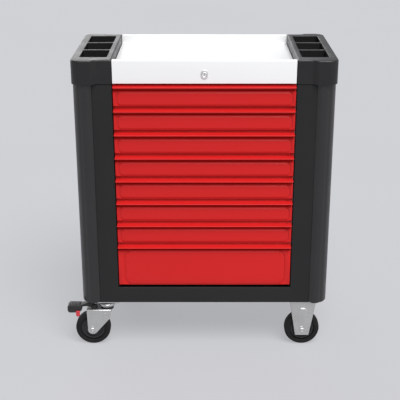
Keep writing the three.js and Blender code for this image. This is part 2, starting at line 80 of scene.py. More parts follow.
def pivot_of(joint_name):
    joint = next(j for j in frame["joints"] if j["name"] == joint_name)
    return Vector(joint["pos_m"]) / MM


CHEST_X = middle("worktop").x
FRONT_Y = low("worktop").y


# ---- Node helpers for materials -----------------------------------------------------------

class Shader:
    """A material under construction: a Principled BSDF and short calls that add nodes to it."""

    def __init__(self, name, colour, roughness, metallic=0.0, **sockets):
        self.material = bpy.data.materials.new(name)
        self.material.use_nodes = True
        self.tree = self.material.node_tree
        self.bsdf = self.tree.nodes["Principled BSDF"]
        self.colour = (*colour, 1.0)
        self.set("Base Color", self.colour)
        self.set("Roughness", roughness)
        self.set("Metallic", metallic)
        for socket, value in sockets.items():
            self.set(socket.replace("_", " "), value)
        self.coordinates = self.tree.nodes.new("ShaderNodeTexCoord").outputs["Object"]

    def set(self, socket, value):
        self.bsdf.inputs[socket].default_value = value

    def link(self, output, target):
        self.tree.links.new(output, target)

    def stretched(self, scale):
        mapping = self.tree.nodes.new("ShaderNodeMapping")
        mapping.inputs["Scale"].default_value = scale
        self.link(self.coordinates, mapping.inputs["Vector"])
        return mapping.outputs["Vector"]

    def noise(self, scale, detail=3.0, roughness=0.5, vector=None):
        node = self.tree.nodes.new("ShaderNodeTexNoise")
        node.inputs["Scale"].default_value = scale
        node.inputs["Detail"].default_value = detail
        node.inputs["Roughness"].default_value = roughness
        self.link(vector or self.coordinates, node.inputs["Vector"])
        return node.outputs["Fac"]

    def cells(self, scale):
        node = self.tree.nodes.new("ShaderNodeTexVoronoi")
        node.inputs["Scale"].default_value = scale
        self.link(self.coordinates, node.inputs["Vector"])
        return node.outputs["Distance"]

    def ramp(self, factor, low_in, high_in, low_out, high_out):
        node = self.tree.nodes.new("ShaderNodeMapRange")
        limits = {"From Min": low_in, "From Max": high_in, "To Min": low_out, "To Max": high_out}
        for socket, value in limits.items():
            node.inputs[socket].default_value = value
        self.link(factor, node.inputs["Value"])
        return node.outputs["Result"]

    def add(self, first, second):
        node = self.tree.nodes.new("ShaderNodeMath")
        node.operation = "ADD"
        self.link(first, node.inputs[0])
        self.link(second, node.inputs[1])
        return node.outputs["Value"]

    def bump(self, height, distance):
        node = self.tree.nodes.new("ShaderNodeBump")
        node.inputs["Distance"].default_value = distance
        node.inputs["Strength"].default_value = 1.0
        self.link(height, node.inputs["Height"])
        self.link(node.outputs["Normal"], self.bsdf.inputs["Normal"])

    def tint(self, factor, share, towards=(1.0, 1.0, 1.0)):
        """Colour between the base and its blend with another, moved by the factor."""
        other = tuple(c * (1 - share) + t * share for c, t in zip(self.colour, towards)) + (1.0,)
        node = self.tree.nodes.new("ShaderNodeMix")
        node.data_type = "RGBA"
        self.link(factor, node.inputs["Factor"])
        colours = [s for s in node.inputs if s.type == "RGBA"]
        colours[0].default_value = self.colour
        colours[1].default_value = other
        result = next(s for s in node.outputs if s.type == "RGBA")
        self.link(result, self.bsdf.inputs["Base Color"])

    def roughen(self, factor, smooth, rough):
        self.link(self.ramp(factor, 0.3, 0.7, smooth, rough), self.bsdf.inputs["Roughness"])


def grey(value, blue=0.0):
    return (value, value, value + blue)


def powder_coat(name, colour, roughness, share, towards, shine=0.25):
    """Sprayed and baked paint: fine orange peel, faint cloudiness, patches rubbed smoother. On the white
    paint the grey clouds are partly uneven tone and partly painted reflection streaks.
    """
    s = Shader(name, colour, roughness, Specular_IOR_Level=shine)
    # Cloudy tint; on the white paint it is partly painted reflection streaks.
    s.tint(s.noise(6.0, 4.0), share, towards)
    s.roughen(s.noise(11.0, 6.0, 0.6), roughness - 0.05, roughness + 0.07)
    s.bump(s.noise(420.0, 2.0), 0.00006)
    return s.material


def grained_plastic(name, colour, roughness, share, towards, shine=0.5):
    """Moulded plastic with a fine spark-eroded grain and a little dusting in patches."""
    s = Shader(name, colour, roughness, Specular_IOR_Level=shine)
    grain = s.add(s.cells(900.0), s.noise(1500.0, 2.0))
    s.tint(s.noise(5.0, 6.0, 0.65), share, towards)
    s.roughen(s.noise(14.0, 5.0), roughness - 0.06, roughness + 0.08)
    s.bump(grain, 0.00012)
    return s.material


def plated_steel(name, colour, roughness, stretch=(1.0, 1.0, 1.0), spots=0.22):
    """Zinc or nickel plating: soft spangle, fine drawing lines and dull spots."""
    s = Shader(name, colour, roughness, metallic=1.0)
    lines = s.noise(260.0, 4.0, 0.6, s.stretched(stretch))
    spangle = s.cells(170.0)
    dull = s.add(s.ramp(spangle, 0.0, 0.8, 0.0, 0.5), s.ramp(s.noise(22.0, 5.0), 0.3, 0.7, 0.0, 0.5))
    s.tint(dull, spots, grey(0.12))
    wear = s.add(s.ramp(lines, 0.0, 1.0, 0.0, 0.5), s.ramp(s.noise(30.0, 4.0), 0.0, 1.0, 0.0, 0.5))
    s.roughen(wear, roughness - 0.08, roughness + 0.12)
    s.bump(lines, 0.00003)
    return s.material


def moulded_rubber(name, colour, roughness):
    """Tyre rubber: matt, dusty in patches, with a slightly pitted skin."""
    s = Shader(name, colour, roughness, Specular_IOR_Level=0.22)
    s.tint(s.ramp(s.noise(35.0, 6.0, 0.7), 0.45, 0.75, 0.0, 1.0), 0.08, (0.10, 0.098, 0.095))
    s.roughen(s.noise(60.0, 4.0), roughness - 0.08, roughness + 0.06)
    s.bump(s.add(s.noise(700.0, 3.0), s.ramp(s.cells(240.0), 0.0, 0.35, 0.0, 0.6)), 0.00018)
    return s.material


def studded_mat(name, colour):
    """Drawer liner: soft dark mat with small round studs in rows."""
    s = Shader(name, colour, 0.75, Specular_IOR_Level=0.3)
    studs = s.cells(160.0)
    s.tint(s.noise(18.0, 5.0), 0.12, grey(0.2))
    s.bump(s.ramp(studs, 0.15, 0.5, 1.0, 0.0), 0.0006)
    return s.material


MATERIALS = {
    "dark_steel": powder_coat("paint_anthracite", grey(0.013, 0.0002), 0.42, 0.2, grey(0.03)),
    "drawer_steel": powder_coat("paint_drawer_box", (0.03, 0.031, 0.033), 0.45, 0.3, grey(0.06)),
    "red_steel": powder_coat("paint_red", (0.60, 0.0155, 0.0155), 0.36, 0.10, (0.40, 0.0, 0.0), 0.2),
    # The white paint's grey clouds are partly uneven tone and partly painted reflection streaks.
    "white_steel": powder_coat("paint_white", grey(0.84), 0.32, 0.12, (0.72, 0.73, 0.74), 0.5),
    "dark_plastic": grained_plastic("plastic_anthracite", grey(0.012, 0.0002), 0.34, 0.08,
                                    grey(0.10, 0.005)),
    # A darker copy of the cap plastic for the cap's upright wall: painted shade, while the top keeps the
    # plain cap plastic.
    "cap_wall_painted_shade": grained_plastic("plastic_cap_wall", grey(0.009, 0.0002), 0.36, 0.08,
                                grey(0.08, 0.005), 0.38),
    # A darker copy of the tray plastic for the pocket walls and floors: painted shade in the recesses.
    "pocket_plastic_painted_shade": grained_plastic("plastic_pocket_painted_shade", grey(0.006, 0.0002), 0.45, 0.06, grey(0.05), 0.2),
    "black_plastic": grained_plastic("plastic_black", grey(0.010, 0.0005), 0.42, 0.05, grey(0.08)),
    "red_plastic": grained_plastic("plastic_red", (0.55, 0.02, 0.03), 0.40, 0.08, grey(0.35, 0.02)),
    "core_plastic": grained_plastic("plastic_wheel_core", grey(0.020, 0.001), 0.45, 0.06, grey(0.1), 0.4),
    "zinc_steel": plated_steel("zinc_plating", grey(0.68, -0.01), 0.38, (1.0, 1.0, 0.06)),
    "chrome": plated_steel("bright_plating", grey(0.70), 0.20),
    "lock_metal": plated_steel("nickel_plating", grey(0.93), 0.45, (1.0, 1.0, 0.2), 0.10),
    "tyre": moulded_rubber("rubber_tyre", grey(0.009, 0.0005), 0.72),
    "mat": studded_mat("drawer_mat", grey(0.02, 0.001)),
}


# ---- Outlines -----------------------------------------------------------------------------

def rounded(points, radius=0, steps=5, closed=True):
    """Points (a, b) or (a, b, r) joined by straight lines, each corner turned on its radius."""
    count = len(points)
    made = []
    for i, point in enumerate(points):
        r = point[2] if len(point) > 2 else radius
        here = Vector(point[:2])
        if r <= 0 or (not closed and i in (0, count - 1)):
            made.append(tuple(here))
            continue
        before = Vector(points[i - 1][:2]) - here
        after = Vector(points[(i + 1) % count][:2]) - here
        angle = before.angle(after)
        reach = min(r / math.tan(angle / 2), before.length * 0.499, after.length * 0.499)
        r = reach * math.tan(angle / 2)
        start = here + before.normalized() * reach
        centre = here + (before.normalized() + after.normalized()).normalized() * (r / math.sin(angle / 2))
        first = start - centre
        turn = (here + after.normalized() * reach - centre)
        sweep = first.angle_signed(turn)
        for k in range(steps + 1):
            a = -sweep * k / steps
            c, s = math.cos(a), math.sin(a)
            made.append((centre.x + first.x * c - first.y * s, centre.y + first.x * s + first.y * c))
    return made


def box_outline(a0, a1, b0, b1, radius=0, steps=5):
    return rounded([(a0, b0), (a1, b0), (a1, b1), (a0, b1)], radius, steps)


def circle(centre, radius, steps=32):
    angles = [math.tau * k / steps for k in range(steps)]
    return [(centre[0] + radius * math.cos(a), centre[1] + radius * math.sin(a)) for a in angles]


def signed_area(loop):
    return sum(a[0] * b[1] - b[0] * a[1] for a, b in zip(loop, loop[1:] + loop[:1])) / 2


def wound(loop, anticlockwise=True):
    return list(loop) if (signed_area(loop) > 0) == anticlockwise else list(reversed(loop))


def mitre(before, after):
    """The move of a corner, per unit of thickness, to the left-hand side of its two edges."""
    if before.length < 1e-9:
        before = after
    if after.length < 1e-9:
        after = before
    both = Vector((-before.y, before.x)).normalized() + Vector((-after.y, after.x)).normalized()
    return both / max(both.length_squared / 2, SHARPEST_MITRE)


def inset(loop, distance):
    """The loop moved to its left-hand side, corners mitred."""
    moved = []
    for i, point in enumerate(loop):
        here = Vector(point)
        move = mitre(here - Vector(loop[i - 1]), Vector(loop[(i + 1) % len(loop)]) - here)
        moved.append((point[0] + move.x * distance, point[1] + move.y * distance))
    return moved


def thickened(path, thickness):
    """A bent sheet's outline from one face of it: the sheet lies on the path's left-hand side."""
    last = len(path) - 1
    far_face = []
    for i, point in enumerate(path):
        here = Vector(point)
        move = mitre(here - Vector(path[max(i - 1, 0)]), Vector(path[min(i + 1, last)]) - here)
        far_face.append((point[0] + move.x * thickness, point[1] + move.y * thickness))
    return list(path) + list(reversed(far_face))


def quarter_round(edge, level, way, steps=3):
    """Pairs (inset, level) from a face at the level, round its edge to the wall that follows it."""
    if not edge:
        return [(0, level)]
    pairs = []
    for k in range(steps + 1):
        a = math.pi / 2 * k / steps
        pairs.append((edge * (1 - math.sin(a)), level + way * edge * (1 - math.cos(a))))
    return pairs


AXES = {"x": lambda a, b, w: (w, a, b), "y": lambda a, b, w: (a, w, b), "z": lambda a, b, w: (a, b, w)}


# ---- Pieces -------------------------------------------------------------------------------

class Piece:
    """One visible object, gathered from closed bodies that may differ in material."""

    def __init__(self, name):
        self.name = name
        self.points = []
        self.faces = []
        self.face_slots = []
        self.slots = []
        self.current = 0

    def use(self, material):
        if material not in self.slots:
            self.slots.append(material)
        self.current = self.slots.index(material)
        return self

    def ring(self, loop, axis, level):
        first = len(self.points)
        self.points += [AXES[axis](a, b, level) for a, b in loop]
        return list(range(first, len(self.points)))

    def face(self, corners):
        self.faces.append(tuple(corners))
        self.face_slots.append(self.current)

    def bridge(self, one, other):
        count = len(one)
        for i in range(count):
            j = (i + 1) % count
            self.face((one[i], one[j], other[j], other[i]))

    def join(self, rings):
        for one, other in zip(rings, rings[1:]):
            self.bridge(one, other)
        return rings

    def sleeve(self, loops, axis):
        """Walls through pairs (loop, level) of equal length; gives back their rings of points."""
        return self.join([self.ring(loop, axis, level) for loop, level in loops])

    def deck(self, rings, flats):
        """Fills the area inside the first loop and outside the others."""
        numbers = [n for r in rings for n in r]
        loops = [[Vector((a, b, 0)) for a, b in flat] for flat in flats]
        for triangle in tessellate_polygon(loops):
            self.face([numbers[k] for k in triangle])

    def shell(self, loops, axis):
        """A closed body through pairs (loop, level), capped at its first and last loop."""
        rings = self.sleeve(loops, axis)
        self.deck([rings[0]], [loops[0][0]])
        self.deck([rings[-1]], [loops[-1][0]])
        return self

    def plate(self, outline, axis, low_w, high_w, edge=0, holes=(), steps=3, edges=(True, True)):
        """A prism with its edges rounded; holes keep the same rounding."""
        levels = quarter_round(edge if edges[0] else 0, low_w, 1, steps)
        levels += reversed(quarter_round(edge if edges[1] else 0, high_w, -1, steps))
        lows, highs = [], []
        for loop in [wound(outline)] + [wound(hole, False) for hole in holes]:
            loops = [(inset(loop, d), w) for d, w in levels]
            rings = self.sleeve(loops, axis)
            lows.append((rings[0], loops[0][0]))
            highs.append((rings[-1], loops[-1][0]))
        for end in (lows, highs):
            self.deck(*zip(*end))
        return self

    def slab(self, lo, hi, edge=0, corner=0, axis="z"):
        """A block with rounded edges, seen along the given axis."""
        order = {"x": (1, 2, 0), "y": (0, 2, 1), "z": (0, 1, 2)}[axis]
        a, b, w = order
        outline = box_outline(lo[a], hi[a], lo[b], hi[b], corner)
        return self.plate(outline, axis, lo[w], hi[w], edge)

    def lathe(self, profile, centre, axis, steps=64):
        """A closed profile (radius, height) turned about an axis; a radius of 0 lies on it."""
        angles = [math.tau * k / steps for k in range(steps)]
        rings = []
        for radius, height in profile:
            first = len(self.points)
            around = angles if radius else angles[:1]
            for a in around:
                place = AXES[axis](radius * math.cos(a), radius * math.sin(a), height)
                self.points.append(tuple(Vector(centre) + Vector(place)))
            rings.append([first + k % len(around) for k in range(steps)])
        pairs = list(zip(rings, rings[1:]))
        if profile[0][0]:
            pairs.append((rings[-1], rings[0]))
        for one, other in pairs:
            for i in range(steps):
                j = (i + 1) % steps
                self.face(dict.fromkeys((one[i], one[j], other[j], other[i])))
        return self

    def rod(self, radius, start, end, centre, axis, steps=32):
        return self.lathe([(0, start), (radius, start), (radius, end), (0, end)], centre, axis, steps)

    def bolt(self, centre, axis, sign, size=6.5, height=4.5):
        """A flanged hexagon head standing on a surface; sign is the way that it points."""
        w = sign
        flange = [(0, 0), (size * 1.28, 0), (size * 1.28, w * 0.8), (size * 1.02, w * 1.6), (0, w * 1.6)]
        head = [(0, w * 1.2), (size, w * 1.2), (size, w * (height - 0.8)),
                (size * 0.88, w * height), (size * 0.5, w * height), (size * 0.42, w * (height - 0.5)),
                (0, w * (height - 0.5))]
        self.lathe(flange, centre, axis, 24)
        return self.lathe(head, centre, axis, 6)

    def pad(self, outline, axis, base_w, face_w, slope):
        """A pressed pad: a low body whose sides slope gently up to its flat face."""
        loop = wound(outline)
        levels = [(0, base_w - (face_w - base_w) * 0.4), (0, base_w)]
        for share, rise in ((0.12, 0.06), (0.3, 0.3), (0.7, 0.8), (0.88, 0.95), (1.0, 1.0)):
            levels.append((slope * share, base_w + (face_w - base_w) * rise))
        return self.shell([(inset(loop, d), w) for d, w in levels], axis)

    def half_turn(self, centre):
        """Turns the gathered bodies half a turn about an upright line."""
        self.points = [(2 * centre.x - x, 2 * centre.y - y, z) for x, y, z in self.points]
        return self

    def mesh(self):
        data = bpy.data.meshes.new(self.name)
        data.from_pydata([(x * MM, y * MM, z * MM) for x, y, z in self.points], [], self.faces)
        for slot in self.slots:
            data.materials.append(MATERIALS[slot])
        data.polygons.foreach_set("material_index", self.face_slots)
        bm = bmesh.new()
        bm.from_mesh(data)
        bmesh.ops.remove_doubles(bm, verts=bm.verts, dist=1e-7)
        bmesh.ops.dissolve_degenerate(bm, dist=1e-7, edges=bm.edges)
        bmesh.ops.recalc_face_normals(bm, faces=bm.faces)
        bm.to_mesh(data)
        bm.free()
        data.update()
        return data

    def solid(self):
        """The gathered bodies as a plain object, used for cutting and never shown."""
        made = bpy.data.objects.new(self.name, self.mesh())
        bpy.context.scene.collection.objects.link(made)
        return made

    def build(self, body, slot=None, replaces=(), angle=32.0, cuts=(), bevel=0):
        """Links the object, cuts it, rounds its sharp edges and makes it ride on its body."""
        made = self.solid()
        for operation, cutter in cuts:
            boolean = made.modifiers.new("cut", "BOOLEAN")
            boolean.operation = operation
            boolean.solver = "EXACT"
            boolean.object = cutter
        if bevel:
            soften = made.modifiers.new("soften", "BEVEL")
            soften.width = bevel * MM
            soften.segments = 2
            soften.limit_method = "ANGLE"
            soften.angle_limit = math.radians(40)
        if made.modifiers:
            bpy.context.view_layer.update()
            evaluated = made.evaluated_get(bpy.context.evaluated_depsgraph_get())
            data = bpy.data.meshes.new_from_object(evaluated)
            made.modifiers.clear()
            made.data = data
        for _, cutter in cuts:
            bpy.data.objects.remove(cutter)
        made.data.shade_smooth()
        made.data.set_sharp_from_angle(angle=math.radians(angle))
        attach(made, body)
        if replaces:
            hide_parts(*replaces)
        return made


def bore(radius, centre):
    """A long rod along Y that cuts a round hole."""
    return Piece("bore").rod(radius, -BORE_REACH, BORE_REACH, centre, "y").solid()


# ---- Cabinet ------------------------------------------------------------------------------

def mirrored(loop):
    return [(2 * CHEST_X - a, b) for a, b in loop]


def for_side(loop, side):
    """Plan outlines are drawn for the right-hand side and reflected for the left."""
    return loop if side == "right" else mirrored(loop)


def side_x(x, side):
    return x if side == "right" else 2 * CHEST_X - x


def folded_pan(piece, outline, axis, face_w, back_w, sheet, edge):
    """A sheet folded back all round: its face is at face_w and its open side at back_w."""
    loop = wound(outline)
    way = 1 if back_w > face_w else -1
    inside = inset(loop, sheet)
    outer = [(inset(loop, d), w) for d, w in quarter_round(edge, face_w, way)]
    piece.shell(outer + [(loop, back_w), (inside, back_w), (inside, face_w + way * sheet)], axis)


def front_frame():
    lo, hi = box("front_frame")
    drawer_lo, drawer_hi = box("drawer_1_front")
    gap = 3
    left, right = drawer_lo.x - gap, drawer_hi.x + gap
    sill = low(f"drawer_{DRAWER_COUNT}_front").z - 11
    top = low("left_tray").z - 1
    outline = rounded([
        (lo.x, lo.z, 2), (hi.x, lo.z, 2), (hi.x, top), (right, top),
        (right, sill, 3), (left, sill, 3), (left, top), (lo.x, top),
    ])
    piece = Piece("cabinet_front_frame").use("dark_steel")
    folded_pan(piece, outline, "y", lo.y, hi.y, 1.5, 1.6)
    rail_low = top + 15
    piece.slab((left + gap, lo.y + 4, rail_low), (right - gap, hi.y, hi.z), 1, axis="x")
    barrel = middle("lock_barrel")
    cuts = [("DIFFERENCE", bore(10.5, (CHEST_X, barrel.y, barrel.z)))]
    piece.build("cabinet", "dark_steel", ["front_frame"], cuts=cuts)
    for side in ("left", "right"):
        seam = sorted((side_x(hi.x + 0.02, side), side_x(low("right_cladding").x - 0.02, side)))
        strip = Piece(f"{side}_seam_strip").use("dark_plastic")
        strip.slab((seam[0], lo.y + 1.2, lo.z + 3), (seam[1], hi.y - 2, top - 2))
        strip.build("cabinet", "dark_plastic")


def back_panel():
    lo, hi = box("back_panel")
    piece = Piece("cabinet_back").use("dark_steel")
    piece.slab(lo, hi, 0.6, 3, "y")
    columns = 3
    margin = 45
    width = (hi.x - lo.x - margin * (columns + 1)) / columns
    for k in range(columns):
        x = lo.x + margin + k * (width + margin)
        piece.slab((x, hi.y - 1, lo.z + 60), (x + width, hi.y + 1.2, hi.z - 60), 1.1, 22, "y")
    rows, end_margin, side_margin = 9, 25, 18
    rivet = [(0, -1), (4, -1), (3.6, 1.0), (2, 1.7), (0, 1.8)]
    for k in range(rows):
        z = lo.z + end_margin + (hi.z - lo.z - 2 * end_margin) * k / (rows - 1)
        for x in (lo.x + side_margin, hi.x - side_margin):
            piece.lathe(rivet, (x, hi.y, z), "y", 16)
    piece.build("cabinet", "dark_steel", ["back_panel"])


def floor_pan():
    lo, hi = box("floor_pan")
    piece = Piece("cabinet_floor").use("dark_steel")
    piece.slab(lo, (hi.x, hi.y, lo.z + 3), 0.8, 4)
    flange_end = 72
    for y in (lo.y + 1, hi.y - 3):
        piece.slab((lo.x + flange_end, y, lo.z + 2), (hi.x - flange_end, y + 2, hi.z), 0.6)
    ribs, first_rib, half_width, end_margin = 4, 150, 25, 45
    for k in range(ribs):
        x = lo.x + first_rib + k * (hi.x - lo.x - 2 * first_rib) / (ribs - 1)
        piece.slab((x - half_width, lo.y + end_margin, lo.z - 1.2),
                   (x + half_width, hi.y - end_margin, lo.z + 1), 1.1, 20)
    piece.build("cabinet", "dark_steel", ["floor_pan"])


def channel(piece, side, web_x, tip_x, half, centre_z, y0, y1, sheet=1.2):
    """A rolled rail section along Y; its web is at web_x and its lips reach towards the drawer."""
    path = rounded([(tip_x, centre_z - half), (web_x, centre_z - half), (web_x, centre_z + half),
                    (tip_x, centre_z + half)], 2.2, 3, closed=False)
    section = thickened(path, sheet if tip_x < web_x else -sheet)
    piece.plate(for_side(section, side), "y", y0, y1)


def slide_centre(index):
    lo, hi = box(f"drawer_{index + 1}_slide_right")
    return (lo.z + hi.z) / 2


def side_panel(side):
    node = f"{side}_side_panel"
    lo, hi = box("right_side_panel")
    skin = 1.5
    piece = Piece(f"cabinet_{side}_panel").use("dark_steel")
    face = low("right_side_panel").x + 11
    xs = sorted((side_x(hi.x - skin, side), side_x(hi.x, side)))
    piece.slab((xs[0], lo.y, lo.z), (xs[1], hi.y, hi.z), 0.5, axis="x")
    rail_lo, rail_hi = box("drawer_1_slide_right")
    start, end = rail_lo.y - 2, rail_hi.y + 2
    post = 30
    for y in (start, end - post):
        corners = [(hi.x - skin, y), (face, y), (face, y + post), (hi.x - skin, y + post)]
        path = rounded(corners, 2, 3, False)
        piece.plate(for_side(thickened(path, -skin), side), "z", lo.z, hi.z)
    piece.use("zinc_steel")
    for index in range(DRAWER_COUNT):
        channel(piece, side, face, face - 10.5, 21, slide_centre(index), start, end)
    piece.build("cabinet", "dark_steel", [node])


def cladding_outline(x0, x1, y0, y1, d, groove):
    """Plan of the cladding, shrunk by d: bulging corners, each with a shallow upright groove."""
    bulge, radius = 10, 50
    groove_place, groove_width = math.degrees(math.sin(math.radians(58))), 3.2
    inner_x = x0 + d
    near, far = y0 + bulge, y1 - bulge
    loop = [(inner_x, near + d)]

    def corner(centre_y, start):
        steps = 28
        for k in range(steps + 1):
            a = start + math.pi / 2 * k / steps
            off_groove = (math.degrees(abs(math.sin(a))) - groove_place) / groove_width
            depth = groove * math.exp(-off_groove * off_groove)
            r = radius - d - depth
            loop.append((x1 - radius + r * math.cos(a), centre_y + r * math.sin(a)))

    corner(y0 + radius, -math.pi / 2)
    corner(y1 - radius, 0)
    loop.append((inner_x, far - d))
    return loop


def cladding(side):
    lo, hi = box("right_cladding")
    wall = 3.5
    edge = 3
    piece = Piece(f"{side}_side_cladding").use("dark_plastic")

    def plan(d, groove=1.3):
        return for_side(cladding_outline(lo.x, hi.x, lo.y, hi.y, d, groove), side)

    outer = [(plan(d), z) for d, z in quarter_round(edge, lo.z, 1, 5)] + [(plan(0), hi.z)]
    inner = plan(wall, 0)
    piece.shell(outer + [(inner, hi.z), (inner, lo.z + wall)], "z")
    pad_y = (lo.y + 62, hi.y - 62)
    pad_z = (lo.z + 38, low("right_tray").z - 30)
    xs = sorted((side_x(hi.x - 1.5, side), side_x(hi.x + 0.9, side)))
    outline = box_outline(pad_y[0], pad_y[1], pad_z[0], pad_z[1], 26, 8)
    piece.plate(outline, "x", xs[0], xs[1], 0.9)
    way = 1 if side == "right" else -1
    screw = [(0, 0), (6, 0), (6, 0.9), (4.6, 1.5), (2.2, 1.5), (2.0, 0.7), (0, 0.7)]
    screw = [(radius, way * height) for radius, height in screw]
    inward = 20
    for y in (pad_y[0] + inward, pad_y[1] - inward):
        for z in (pad_z[0] + inward, pad_z[1] - inward):
            piece.lathe(screw, (side_x(hi.x + 0.4, side), y, z), "x", 24)
    piece.build("cabinet", "dark_plastic", [f"{side}_cladding"], angle=40)


# ---- Worktop, trays and lock --------------------------------------------------------------

WORKTOP_Z = next(m["pos_m"][2] / MM for m in frame["record"]["mounts"] if m["name"] == "worktop")


def worktop():
    lo, hi = box("worktop")
    lip, rear_lip, bend = 19, 14, 4
    fascia_low = lo.z + 4
    path = rounded([
        (lo.y, fascia_low), (lo.y, hi.z, bend), (lo.y + lip - 1.5, hi.z, 3),
        (lo.y + lip, WORKTOP_Z, 3.5), (hi.y - rear_lip, WORKTOP_Z, 3.5),
        (hi.y - rear_lip + 1.5, hi.z, 3), (hi.y, hi.z, bend), (hi.y, lo.z),
    ], steps=6, closed=False)
    piece = Piece("worktop_pan").use("white_steel")
    piece.plate(thickened(path, -1.5), "x", lo.x, hi.x, 0.35)
    lock_x, _, lock_z = pivot_of("lock_turn")
    cuts = [("DIFFERENCE", bore(10, (lock_x, lo.y, lock_z)))]
    piece.build("cabinet", "white_steel", ["worktop"], cuts=cuts)


def tray_plan(lo, hi, d, side):
    """Plan of a tray cap, shrunk by d: its outer part bulges to the front and back."""
    front, back = lo.y + 13, hi.y - 13
    step, bulge = lo.x + 51, lo.x + 66
    ease = 14

    def r(radius):
        return max(radius - d, 0.5)

    loop = rounded([
        (lo.x + d, front + d, r(3)), (step + 0.3 * d, front + d, ease + d),
        (bulge + 0.3 * d, lo.y + d, r(ease)), (hi.x - d, lo.y + d, r(50)),
        (hi.x - d, hi.y - d, r(50)), (bulge + 0.3 * d, hi.y - d, r(ease)),
        (step + 0.3 * d, back - d, ease + d), (lo.x + d, back - d, r(3)),
    ], steps=14)
    return wound(for_side(loop, side))


def pocket_spans():
    spans = {}
    for opening in frame["record"]["physics"]["openings"]:
        name = opening["name"]
        if "_tray_" in name:
            corners = [Vector(corner) / MM for corner in opening["box_m"]]
            spans.setdefault(name.split("_")[0], []).append(corners)
    return spans


def tray(side):
    lo, hi = box("right_tray")
    wall, rim, pocket_rim = 3.5, 4.5, 1.8
    # The upright wall and lower edge take the darker cap plastic: painted shade on the wall.
    piece = Piece(f"{side}_tray_cap").use("cap_wall_painted_shade")
    outer = [(tray_plan(lo, hi, 0.8, side), lo.z), (tray_plan(lo, hi, 0, side), lo.z + 0.8)]
    outer += [(tray_plan(lo, hi, d, side), z) for d, z in reversed(quarter_round(rim, hi.z, -1, 4))]
    rings = [piece.ring(loop, "z", z) for loop, z in outer]
    piece.join(rings[:4])
    piece.use("dark_plastic")
    piece.join(rings[3:])
    under = hi.z - 3
    inner_loop = tray_plan(lo, hi, wall, side)
    inner = [piece.ring(inner_loop, "z", lo.z), piece.ring(inner_loop, "z", under)]
    piece.join([rings[0], *inner])
    tops = [(rings[-1], outer[-1][0])]
    undersides = [(inner[-1], inner_loop)]
    for pocket_lo, pocket_hi in pocket_spans()[side]:
        grow = 1
        loop = wound(box_outline(pocket_lo.x - grow, pocket_hi.x + grow, pocket_lo.y - grow,
                                 pocket_hi.y + grow, 7, 6), False)
        floor = pocket_lo.z - grow
        levels = quarter_round(pocket_rim, hi.z, -1, 4)
        turned = len(levels)
        levels += [(-1.2, floor + 3), (-2.0, floor + 0.9), (-4.0, floor)]
        loops = [(inset(loop, d), z) for d, z in levels]
        rings = [piece.ring(flat, "z", z) for flat, z in loops]
        piece.join(rings[:turned])
        # Pocket walls and floor take the darker plastic: painted shade inside the recess.
        piece.use("pocket_plastic_painted_shade")
        piece.join(rings[turned - 1:])
        piece.deck([rings[-1]], [loops[-1][0]])
        piece.use("dark_plastic")
        tops.append((rings[0], loops[0][0]))
        tub = [(inset(loop, 2.2), under), (inset(loop, 0.8), floor - 2.2)]
        tub_rings = piece.sleeve(tub, "z")
        piece.deck([tub_rings[1]], [tub[1][0]])
        undersides.append((tub_rings[0], tub[0][0]))
    piece.deck(*zip(*tops))
    piece.deck(*zip(*undersides))
    piece.build("cabinet", "dark_plastic", [f"{side}_tray"], angle=35)


def lock():
    centre = pivot_of("lock_turn")
    front, back = FRONT_Y, high("lock_barrel").y
    plate = Piece("lock_escutcheon").use("lock_metal")
    rim = box_outline(centre.x - 12, centre.x + 12, centre.z - 15, centre.z + 15, 11.8, 12)
    plate.plate(rim, "y", front - 2.2, front - 0.1, 1.2, [circle((centre.x, centre.z), 8.9, 48)])
    plate.build("cabinet", "lock_metal")
    barrel = Piece("lock_cylinder").use("lock_metal")
    r = 8.4
    lever_front = back - 1.8
    profile = [(0, front - 1.4), (5.6, front - 1.4), (6.2, front - 2.6), (7.4, front - 3.2),
               (r, front - 2.4), (r, lever_front), (0, lever_front)]
    barrel.lathe(profile, (centre.x, 0, centre.z), "y", 48)
    lever = rounded([(-6, -6), (6, -6), (22, -4), (22, 4), (6, 6), (-6, 6)], 3)
    barrel.plate([(centre.x + a, centre.z + b) for a, b in lever], "y", lever_front, back, 0.4)
    slot = Piece("key_slot")
    slot.slab((centre.x - 0.9, front - 5, centre.z - 4.2),
              (centre.x + 0.9, front + 8, centre.z + 4.2), 0, axis="y")
    barrel.build("lock_barrel", "lock_metal", ["lock_barrel"], cuts=[("DIFFERENCE", slot.solid())])
    lo, hi = box("lock_bar")
    bar = Piece("lock_rod").use("zinc_steel")
    bar.slab((hi.x - 5, lo.y, lo.z), hi, 0.8, 1)
    bar.slab((lo.x, lo.y + 1, hi.z - 12), (hi.x - 2, lo.y + 4, hi.z), 0.6, 1, "y")
    for index in range(DRAWER_COUNT):
        z = face_top(index) + 17
        bar.slab((hi.x - 16.5, lo.y, z), (hi.x - 4, hi.y, z + 6), 0.6, 1, "x")
    bar.build("lock_bar", "zinc_steel", ["lock_bar"])


# ---- Drawers ------------------------------------------------------------------------------

FRONT_ABOVE_FACE = 26.5
LIP_REACH = 12


def face_top(index):
    return high(f"drawer_{index + 1}_front").z - FRONT_ABOVE_FACE


def curve(start, control, end, steps=7):
    """The points of a quadratic curve after its start."""
    made = []
    for k in range(1, steps + 1):
        t = k / steps
        terms = zip(start, control, end)
        made.append(tuple((1 - t) ** 2 * s + 2 * t * (1 - t) * c + t * t * e for s, c, e in terms))
    return made


STRIP_SET_BACK = 2.6
GRIP_SET_BACK = 12


